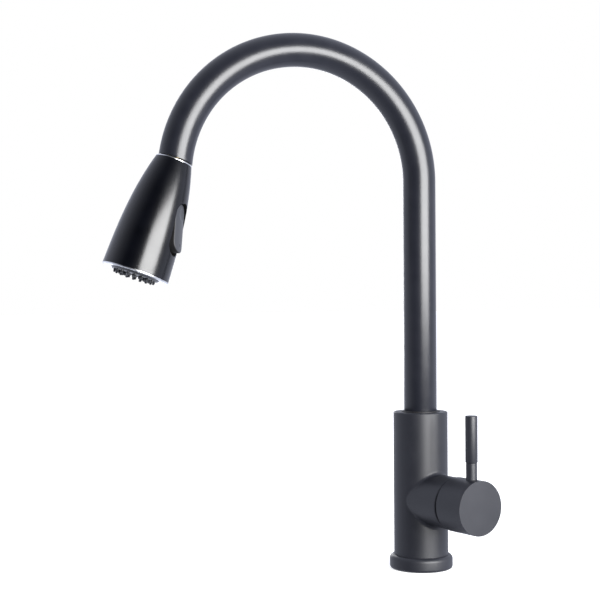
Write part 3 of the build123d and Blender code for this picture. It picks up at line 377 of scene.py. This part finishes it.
def side_radius(station):
    """The head's outer radius at a station along its axis: one smooth curve through three sizes."""
    spans = [HEAD_LENGTH / 2 - TOP_RING_HEIGHT, SHELL_LENGTH - HEAD_LENGTH / 2]
    radii = [HEAD_TOP_R, HEAD_MID_R, HEAD_MOUTH_R]
    first, last = tan(radians(HEAD_TOP_SLOPE)), tan(radians(HEAD_MOUTH_SLOPE))
    pull = 3 * ((radii[1] - radii[0]) / spans[0] ** 2 + (radii[2] - radii[1]) / spans[1] ** 2)
    middle = (pull - first / spans[0] - last / spans[1]) / (2 / spans[0] + 2 / spans[1])
    part = 0 if station < HEAD_LENGTH / 2 else 1
    start = (TOP_RING_HEIGHT, HEAD_LENGTH / 2)[part]
    low, high = radii[part], radii[part + 1]
    low_slope, high_slope = ((first, middle), (middle, last))[part]
    span = spans[part]
    t = (station - start) / span
    return (low * (2 * t**3 - 3 * t**2 + 1) + span * low_slope * (t**3 - 2 * t**2 + t)
            + high * (3 * t**2 - 2 * t**3) + span * high_slope * (t**3 - t**2))


def stadium(length, width, low, high, sides=96):
    """An upright block with round ends, long along X: a cylinder with its two halves moved apart."""
    clear_selection()
    bpy.ops.mesh.primitive_cylinder_add(vertices=sides, radius=width / 2 * MM, depth=(high - low) * MM,
                                        location=(0, 0, (low + high) / 2 * MM),
                                        rotation=(0, 0, pi / sides))
    bpy.ops.object.transform_apply(location=True, rotation=True, scale=True)
    block = bpy.context.active_object
    edit(block)
    for side in (-1, 1):
        pick(block, lambda co: co.x * side > 0)
        bpy.ops.transform.translate(value=(side * (length - width) / 2 * MM, 0, 0))
    bpy.ops.object.mode_set(mode="OBJECT")
    return block


stations = [TOP_RING_HEIGHT + (SHELL_LENGTH - TOP_RING_HEIGHT) * i / SHELL_STATIONS
            for i in range(SHELL_STATIONS + 1)]
shell_outline = [(side_radius(s), s) for s in stations]
inner_outline = [(side_radius(s) - HEAD_WALL, s) for s in reversed(stations)]
head_shell = turned("head_shell_turned", [*shell_outline, *inner_outline, shell_outline[0]],
                    sides=FINE_SIDES)
put(head_shell, HEAD_PLACE)
slot_cutter = put(stadium(SLOT_LENGTH, SLOT_WIDTH, HEAD_TOP_R, HEAD_MOUTH_R + SLOT_OVERCUT),
                  SLOT_PLACE)
cut(head_shell, slot_cutter)
soften_edges(head_shell, EDGE_SOFT)

top_ring = turned("top_ring_turned", [
    (HEAD_CORE_R, 0), (HEAD_TOP_R - TOP_RING_HEIGHT / 2, 0), (HEAD_TOP_R - TOP_RING_SHY, RING_EDGE),
    (HEAD_TOP_R, TOP_RING_HEIGHT / 2), (HEAD_TOP_R, TOP_RING_HEIGHT), (HEAD_CORE_R, TOP_RING_HEIGHT),
    (HEAD_CORE_R, 0),
], sides=ROUND_SIDES)
put(top_ring, HEAD_PLACE)

face_ring = turned("face_ring_turned", [
    (NOZZLE_PLATE_R, HEAD_LENGTH - RING_EDGE), (NOZZLE_PLATE_R, SHELL_LENGTH), (HEAD_MOUTH_R, SHELL_LENGTH),
    *arc_points((HEAD_MOUTH_R - FACE_RING_ROUND, HEAD_LENGTH - FACE_RING_ROUND),
                FACE_RING_ROUND, 0, 90, 6),
    (NOZZLE_PLATE_R + RING_EDGE, HEAD_LENGTH), (NOZZLE_PLATE_R, HEAD_LENGTH - RING_EDGE),
], sides=FINE_SIDES)
put(face_ring, HEAD_PLACE)

plate_top = HEAD_LENGTH + PLATE_PROUD
nozzle_mat = turned("nozzle_mat_moulded", [
    (AERATOR_R, SHELL_LENGTH), (NOZZLE_PLATE_R, SHELL_LENGTH), (NOZZLE_PLATE_R, HEAD_LENGTH + 0.15),
    (NOZZLE_PLATE_R - 0.2, HEAD_LENGTH + 0.3), (NOZZLE_PLATE_R - 1.0, plate_top - 0.15),
    (NOZZLE_PLATE_R - 1.3, plate_top), (AERATOR_R + 1.2, plate_top), (AERATOR_R + 1.0, plate_top - 0.4),
    (AERATOR_R + 0.1, plate_top - 0.4), (AERATOR_R, plate_top - 0.5), (AERATOR_R, SHELL_LENGTH),
], sides=ROUND_SIDES)
nozzle_tip = plate_top + NOZZLE_HEIGHT
nozzle = turned("nozzle", [
    (NOZZLE_R, plate_top - NOZZLE_FOOT), (NOZZLE_R, plate_top + NOZZLE_FOOT),
    (NOZZLE_SHOULDER_R, nozzle_tip - 0.2), (NOZZLE_LIP_R, nozzle_tip - 0.04),
    (NOZZLE_MOUTH_R, nozzle_tip), (NOZZLE_BORE_R + 0.04, nozzle_tip - 0.06),
    (NOZZLE_BORE_R, plate_top + NOZZLE_BORE_FOOT), (POLE_R, plate_top + NOZZLE_BORE_FOOT),
], sides=20)
edit(nozzle)
pick(nozzle, lambda co: co.z < (plate_top - NOZZLE_FOOT / 2) * MM)
bpy.ops.mesh.edge_face_add()
finish_mesh(nozzle, "nozzle")
nozzles = []
for ring_radius, count in NOZZLE_RINGS:
    for i in range(count):
        copy = nozzle.copy()
        copy.data = nozzle.data.copy()
        bpy.context.scene.collection.objects.link(copy)
        turn = 2 * pi * i / count
        copy.location = (ring_radius * cos(turn) * MM, ring_radius * sin(turn) * MM, 0)
        nozzles.append(copy)
bpy.data.objects.remove(nozzle)
clear_selection()
for copy in nozzles:
    copy.select_set(True)
nozzle_mat.select_set(True)
bpy.context.view_layer.objects.active = nozzle_mat
bpy.ops.object.join()
put(nozzle_mat, HEAD_PLACE)

# ---------------------------------------------------------------- check valve spring

low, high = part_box("check_spring")
spring_middle = (low + high) / 2
spring_rise = (SPRING_LENGTH - 2 * SPRING_WIRE_R) / SPRING_TURNS
clear_selection()
bpy.ops.mesh.primitive_circle_add(vertices=SPRING_SIDES, radius=SPRING_WIRE_R * MM, fill_type="NGON",
                                  rotation=(pi / 2, 0, 0), location=(SPRING_R * MM, 0, 0))
bpy.ops.object.transform_apply(location=True, rotation=True, scale=True)
check_spring = bpy.context.active_object
edit(check_spring)
bpy.ops.mesh.delete(type="ONLY_FACE")
bpy.ops.object.mode_set(mode="OBJECT")
modify(check_spring, "SCREW", angle=2 * pi, screw_offset=spring_rise * MM, iterations=SPRING_TURNS,
       steps=SPRING_STEPS, render_steps=SPRING_STEPS, axis="Z")
edit(check_spring)
bpy.ops.mesh.select_mode(type="EDGE")
bpy.ops.mesh.select_all(action="DESELECT")
bpy.ops.mesh.select_non_manifold(extend=False)
bpy.ops.mesh.edge_face_add()
finish_mesh(check_spring, "check_spring_wound", 40)
spring_start = (spring_middle / MM - HEAD_TOP).dot(HEAD_DIR) - SPRING_LENGTH / 2 + SPRING_WIRE_R
put(check_spring, HEAD_PLACE @ Matrix.Translation((0, 0, spring_start * MM)))

# ---------------------------------------------------------------- finishes


class Value:
    """A number or colour from a node. Sums written with it add Math nodes."""

    def __init__(self, finish, socket):
        self.finish, self.socket = finish, socket

    def maths(self, operation, *inputs):
        return self.finish.node("ShaderNodeMath", {"operation": operation}, dict(enumerate(inputs)))

    def __add__(self, other):
        return self.maths("ADD", self, other)

    __radd__ = __add__

    def __sub__(self, other):
        return self.maths("SUBTRACT", self, other)

    def __rsub__(self, other):
        return self.maths("SUBTRACT", other, self)

    def __mul__(self, other):
        return self.maths("MULTIPLY", self, other)

    __rmul__ = __mul__


class Finish:
    """One finish on the object, built from nodes round a Principled shader."""

    def __init__(self, name, **constants):
        self.material = bpy.data.materials.new(name)
        self.material.use_nodes = True
        self.tree = self.material.node_tree
        self.shader = next(n for n in self.tree.nodes if n.type == "BSDF_PRINCIPLED")
        for socket, value in constants.items():
            self.shader.inputs[socket.replace("_", " ")].default_value = value

    def node(self, kind, settings, inputs, output=0):
        """Adds a node, sets it up, then gives its sockets their values or links."""
        made = self.tree.nodes.new(kind)
        for setting, value in settings.items():
            setattr(made, setting, value)
        for socket, value in inputs.items():
            if isinstance(value, Value):
                self.tree.links.new(value.socket, made.inputs[socket])
            else:
                made.inputs[socket].default_value = value
        return Value(self, made.outputs[output])

    def place(self):
        return self.node("ShaderNodeTexCoord", {}, {}, "Object")

    def noise(self, size_mm, detail=3.0, roughness=0.5, stretch=None):
        """Cloudy values, most of them from 0.35 to 0.65, with blotches about size_mm across."""
        where = self.place()
        if stretch:
            where = self.node("ShaderNodeMapping", {}, {"Vector": where, "Scale": stretch})
        return self.node("ShaderNodeTexNoise", {}, {
            "Vector": where, "Scale": 1 / (size_mm * MM), "Detail": detail, "Roughness": roughness})

    def ramp(self, value, low, high):
        """Stretches the span from low to high over 0 to 1."""
        return self.node("ShaderNodeMapRange", {"clamp": True},
                         {"Value": value, "From Min": low, "From Max": high})

    def mix(self, share, first, second):
        return self.node("ShaderNodeMix", {"data_type": "RGBA"}, {0: share, 6: first, 7: second}, 2)

    def feed(self, socket, value):
        self.tree.links.new(value.socket, self.shader.inputs[socket])

    def bump(self, height, depth_mm, strength=1.0):
        self.feed("Normal", self.node("ShaderNodeBump", {}, {
            "Height": height, "Distance": depth_mm * MM, "Strength": strength}))


def rgb(red, green, blue):
    return (red, green, blue, 1.0)


def coated(name, colour, worn, low_rough, high_rough, grain_mm, grain_depth):
    """Satin coating on metal: faint cloudiness, fine grain and a little orange peel."""
    finish = Finish(name, IOR=1.5)
    clouds = finish.noise(14, 4)
    grain = finish.noise(grain_mm, 2, 0.6)
    tone = finish.ramp(clouds * 0.6 + grain * 0.4, 0.35, 0.7)
    finish.feed("Base Color", finish.mix(tone, colour, worn))
    shine = finish.ramp(clouds * 0.7 + finish.noise(2.5, 3) * 0.3, 0.35, 0.65)
    finish.feed("Roughness", low_rough + shine * (high_rough - low_rough))
    finish.bump(grain * 0.7 + finish.noise(1.8, 2) * 0.3, grain_depth, 0.6)
    return finish.material


def machined(name, colour, dark, roughness, streak):
    """Turned or drawn metal: fine streaks one way, and a dulled film."""
    finish = Finish(name, Metallic=1.0)
    streaks = finish.noise(0.25, 2, 0.6, streak)
    film = finish.noise(6, 3)
    tone = finish.ramp(film * 0.5 + streaks * 0.5, 0.35, 0.68)
    finish.feed("Base Color", finish.mix(tone, dark, colour))
    finish.feed("Roughness", roughness + streaks * 0.12 + film * 0.08)
    finish.bump(streaks, 0.006, 0.5)
    return finish.material


def moulded(name, colour, pale, roughness, grain_mm, depth, **constants):
    """Moulded plastic, rubber or ceramic: fine grain, slight mottling."""
    finish = Finish(name, **constants)
    grain = finish.noise(grain_mm, 3, 0.6)
    mottle = finish.noise(5, 3)
    tone = finish.ramp(mottle * 0.6 + grain * 0.4, 0.35, 0.68)
    finish.feed("Base Color", finish.mix(tone, colour, pale))
    finish.feed("Roughness", roughness + mottle * 0.1 + grain * 0.06)
    finish.bump(grain, depth, 0.6)
    return finish.material


def braided(name):
    """Nylon braid: two families of strands that cross round the hose's straight end."""
    finish = Finish(name, IOR=1.45)
    local = HEAD_PLACE.inverted()
    where = finish.node("ShaderNodeMapping", {}, {
        "Vector": finish.place(), "Location": local.to_translation(), "Rotation": local.to_euler()})
    x, y, z = (finish.node("ShaderNodeSeparateXYZ", {}, {0: where}, axis) for axis in range(3))
    angle = x.maths("ARCTAN2", y, x)
    strands, pitch = 12, 1.9 * MM
    right = angle.maths("SINE", angle * strands + z * (pi / pitch))
    left = angle.maths("SINE", angle * strands - z * (pi / pitch))
    height = finish.ramp(right * left, -1.0, 1.0)
    fibre = finish.noise(0.18, 2, 0.7)
    # Low places between the strands are coloured darker than the crests, as painted shade; the fibre noise
    # is the strands' own tone.
    finish.feed("Base Color", finish.mix(finish.ramp(height * 0.8 + fibre * 0.3, 0.2, 0.9),
                                         rgb(0.012, 0.012, 0.014), rgb(0.075, 0.076, 0.082)))
    finish.feed("Roughness", 0.62 - height * 0.2)
    finish.bump(height + fibre * 0.15, 0.35, 0.9)
    return finish.material


BLACK_BODY = coated("satin_black_coat", rgb(0.012, 0.013, 0.018), rgb(0.016, 0.017, 0.023),
                    0.43, 0.48, 0.22, 0.0006)
# The spout's coat has a slightly darker base colour than the body's, as painted shade; its lower roughness
# is its own finish.
BLACK_SPOUT = coated("satin_black_spout", rgb(0.010, 0.011, 0.016), rgb(0.014, 0.015, 0.021),
                     0.28, 0.32, 0.22, 0.0005)
BLACK_HEAD = coated("satin_black_head", rgb(0.0008, 0.001, 0.002), rgb(0.0016, 0.002, 0.004),
                    0.22, 0.26, 0.20, 0.0004)
BRIGHT_RING = machined("satin_plated_ring", rgb(0.86, 0.87, 0.89), rgb(0.74, 0.75, 0.77), 0.16, (1, 1, 1))
BRASS = machined("machined_brass", rgb(0.80, 0.62, 0.30), rgb(0.62, 0.46, 0.20), 0.24, (1, 1, 6))
STEEL = machined("turned_steel", rgb(0.66, 0.66, 0.67), rgb(0.50, 0.50, 0.52), 0.26, (1, 1, 6))
SPRING = machined("spring_wire", rgb(0.58, 0.58, 0.60), rgb(0.42, 0.42, 0.44), 0.30, (6, 6, 1))
RUBBER = moulded("black_rubber", rgb(0.010, 0.010, 0.011), rgb(0.020, 0.020, 0.022), 0.5, 0.3, 0.01)
SILICONE = moulded("nozzle_silicone", rgb(0.018, 0.019, 0.021), rgb(0.040, 0.042, 0.046),
                   0.22, 0.4, 0.006, Coat_Weight=0.3, Coat_Roughness=0.12)


def rocker_plastic_painted_shade(name):
    """The rocker's grey matt face, with its sides coloured near black as painted shade."""
    finish = Finish(name, IOR=1.48)
    facing = finish.node("ShaderNodeVectorMath", {"operation": "DOT_PRODUCT"}, {
        0: finish.node("ShaderNodeTexCoord", {}, {}, "Normal"), 1: tuple(ROCKER_OUT)}, "Value")
    face = finish.ramp(facing, 0.45, 0.8)
    grain = finish.noise(0.18, 3, 0.6)
    grey = finish.mix(finish.ramp(grain, 0.35, 0.65),
                      rgb(0.028, 0.030, 0.035), rgb(0.036, 0.038, 0.044))
    # Sides turned away from the rocker's outward face get near-black colour: painted shade; the face keeps
    # its grey plastic.
    finish.feed("Base Color", finish.mix(face, rgb(0.0015, 0.0015, 0.002), grey))
    finish.feed("Roughness", 0.62 - face * 0.24 + grain * 0.06)
    finish.bump(grain, 0.004, 0.6)
    return finish.material


BUTTON = rocker_plastic_painted_shade("rocker_plastic_painted_shade")
# The tray under the rocker: black plastic coloured darker still, with weak specular, as painted shade in
# the slot.
RECESS_PAINTED_SHADE = moulded("recess_black_painted_shade", rgb(0.002, 0.002, 0.002), rgb(0.004, 0.004, 0.004), 0.7, 0.3, 0.008,
                 Specular_IOR_Level=0.15)
BLACK_PLASTIC = moulded("black_plastic", rgb(0.006, 0.006, 0.007), rgb(0.012, 0.012, 0.013),
                        0.42, 0.3, 0.008)
GREY_PLASTIC = moulded("grey_plastic", rgb(0.50, 0.51, 0.52), rgb(0.60, 0.61, 0.62), 0.38, 0.4, 0.008)
CERAMIC = moulded("lapped_ceramic", rgb(0.82, 0.82, 0.79), rgb(0.90, 0.90, 0.87), 0.10, 1.0, 0.001)
BRAID = braided("nylon_braid")

FINISH_OF_SLOT = {
    "satin_black": BLACK_BODY, "brass": BRASS, "steel": STEEL, "spring_steel": SPRING,
    "black_rubber": RUBBER, "black_plastic": BLACK_PLASTIC, "grey_plastic": GREY_PLASTIC,
    "ceramic": CERAMIC, "bright_ring": BRIGHT_RING, "nylon_hose": BRAID,
}


def paint(piece, material):
    """Gives a piece one finish all over."""
    piece.data.materials.clear()
    piece.data.materials.append(material)


for subpart in frame["record"]["subparts"]:
    paint(NODES[subpart["node"]], FINISH_OF_SLOT[subpart["material_slot"]])
# The rocker's sides and its tray carry painted shade in their finishes.
paint(NODES["mode_button"], BUTTON)
paint(NODES["button_tray"], RECESS_PAINTED_SHADE)

PIECES = [
    (base_flange, "base", "base_flange", "satin_black", BLACK_BODY),
    (handle_hub, "handle", "handle_hub", "satin_black", BLACK_BODY),
    (lever_rod, "handle", "lever_rod", "satin_black", BLACK_BODY),
    (lever_grip, "handle", "lever_grip", "satin_black", BLACK_BODY),
    (spout_tube, "spout", "spout_tube", "satin_black", BLACK_SPOUT),
    (hose_ferrule, "hose_end", "hose_ferrule", "steel", STEEL),
    (head_shell, "spray_head", "head_shell", "satin_black", BLACK_HEAD),
    (top_ring, "spray_head", "top_ring", "bright_ring", BRIGHT_RING),
    (face_ring, "spray_head", "face_ring", "bright_ring", BRIGHT_RING),
    (nozzle_mat, "spray_head", "nozzle_mat", "black_rubber", SILICONE),
]
for piece, body, node, slot, material in PIECES:
    paint(piece, material)
    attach(piece, body)
    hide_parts(node)

paint(check_spring, SPRING)
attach(check_spring, "spray_head")
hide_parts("check_spring")
tuple((HEAD_TOP + HEAD_DIR * (spring_start + SPRING_LENGTH)) * MM)
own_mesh(check_spring)

for piece in (pull_hose, hose_lead):
    paint(piece, BRAID)
    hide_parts("pull_hose")
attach(pull_hose, "spout")
tuple((HEAD_TOP - HEAD_DIR * HOSE_LEAD) * MM)
tuple((HEAD_TOP - HEAD_DIR * HOSE_END_BACK) * MM)
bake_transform(hose_lead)

# ---------------------------------------------------------------- floor, light and camera

CAMERA_PLACE = Vector((0.87492, -0.70673, 0.230))
CAMERA_DIR = Vector((-0.83227, 0.55437, 0))
CAMERA_TILT, CAMERA_ROLL = 0.036, -0.33
LENS, SENSOR = 78, 36
LIT_X, LIT_Y = -0.02, -0.08
FLOOR_SIZE, FLOOR_DROP, FLOOR_GLOW = 40, 0.0002, 0.62
BACKDROP_LEVEL, DARK_SIDE_LEVEL, SKIRT_LEVEL = 0.95, 0.02, 0.02
DARK_SIDE_START, DARK_SIDE_FULL = -0.15, 0.72
SKIRT_LOW, SKIRT_HIGH = 0.02, 0.32
ROOM_TINT = rgb(0.86, 0.90, 1.06)

clear_selection()
bpy.ops.mesh.primitive_grid_add(x_subdivisions=8, y_subdivisions=8, size=FLOOR_SIZE,
                                location=(0, 0, -FLOOR_DROP))
floor = bpy.context.active_object
floor.name = "floor"
floor_finish = Finish("pale_floor", Roughness=0.9, IOR=1.2)
floor_finish.shader.inputs["Emission Color"].default_value = rgb(1, 1, 1)
floor_finish.shader.inputs["Emission Strength"].default_value = FLOOR_GLOW
seen_below = floor_finish.node("ShaderNodeNewGeometry", {}, {}, "Backfacing")
looked_at = floor_finish.node("ShaderNodeLightPath", {}, {}, "Is Camera Ray")
floor_finish.feed("Base Color", floor_finish.mix(
    floor_finish.noise(30, 2), rgb(0.9, 0.9, 0.9), rgb(0.93, 0.93, 0.93)))
# The floor is there for the eye from above, and clear to reflections and from below.
surface = floor_finish.node("ShaderNodeMixShader", {}, {
    0: 1 - looked_at * (1 - seen_below),
    1: Value(floor_finish, floor_finish.shader.outputs[0]),
    2: floor_finish.node("ShaderNodeBsdfTransparent", {}, {})})
output = next(n for n in floor_finish.tree.nodes if n.type == "OUTPUT_MATERIAL")
floor_finish.tree.links.new(surface.socket, output.inputs["Surface"])
paint(floor, floor_finish.material)


def soft_light(name, across, up, distance, width, height, power, aim_height):
    """A box light, turned to the right of the camera by across degrees, facing the faucet."""
    towards = Matrix.Rotation(radians(across), 3, UP) @ (CAMERA_DIR * -1)
    light = bpy.data.lights.new(name, "AREA")
    light.shape, light.size, light.size_y, light.energy = "RECTANGLE", width, height, power
    lamp = bpy.data.objects.new(name, light)
    bpy.context.scene.collection.objects.link(lamp)
    lamp.location = Vector((LIT_X, LIT_Y, up)) + towards * distance
    aim = Vector((LIT_X, LIT_Y, aim_height)) - lamp.location
    lamp.visible_camera = False
    lamp.rotation_mode = "QUATERNION"
    lamp.rotation_quaternion = aim.to_track_quat("-Z", "Y")


soft_light("softbox_right", across=37, up=0.34, distance=1.25, width=1.20, height=0.72, power=50,
           aim_height=0.34)
soft_light("softbox_back", across=190, up=0.45, distance=1.60, width=0.50, height=0.90, power=5,
           aim_height=0.30)

world = bpy.data.worlds.new("studio")
bpy.context.scene.world = world
world.use_nodes = True


class Room(Finish):
    """The studio round the faucet, built with the same node steps as a finish."""

    def __init__(self, tree):
        self.tree = tree


room = Room(world.node_tree)
background = next(n for n in room.tree.nodes if n.type == "BACKGROUND")
ray = room.node("ShaderNodeTexCoord", {}, {}, "Generated")


def along(direction):
    return room.node("ShaderNodeVectorMath", {"operation": "DOT_PRODUCT"},
                     {0: ray, 1: tuple(direction)}, "Value")


front, height = along(CAMERA_DIR * -1), along(UP)
# White behind the faucet, grey at its sides, and dark in front, a little less so near the floor.
front_share = room.ramp(front, DARK_SIDE_START, DARK_SIDE_FULL)
level_share = 1 - room.ramp(height, SKIRT_LOW, SKIRT_HIGH)
front_grey = DARK_SIDE_LEVEL + level_share * SKIRT_LEVEL
brightness = (1 - front_share) * BACKDROP_LEVEL + front_share * front_grey
seen = room.node("ShaderNodeLightPath", {}, {}, "Is Camera Ray")
shown = brightness * (1 - seen) + seen
tint = room.mix(seen, ROOM_TINT, rgb(1, 1, 1))
room.tree.links.new(room.mix(shown, rgb(0, 0, 0), tint).socket, background.inputs["Color"])
background.inputs["Strength"].default_value = 1.0

camera = bpy.data.objects.new("camera", bpy.data.cameras.new("camera"))
bpy.context.scene.collection.objects.link(camera)
camera.data.lens, camera.data.sensor_width = LENS, SENSOR
camera.data.clip_start, camera.data.clip_end = 0.01, 50
camera.location = CAMERA_PLACE
camera.rotation_mode = "QUATERNION"
camera.rotation_quaternion = (CAMERA_DIR.to_track_quat("-Z", "Y")
                              @ Quaternion((1, 0, 0), radians(CAMERA_TILT))
                              @ Quaternion((0, 0, 1), radians(CAMERA_ROLL)))
bpy.context.scene.camera = camera
bpy.context.scene.view_settings.view_transform = "Standard"
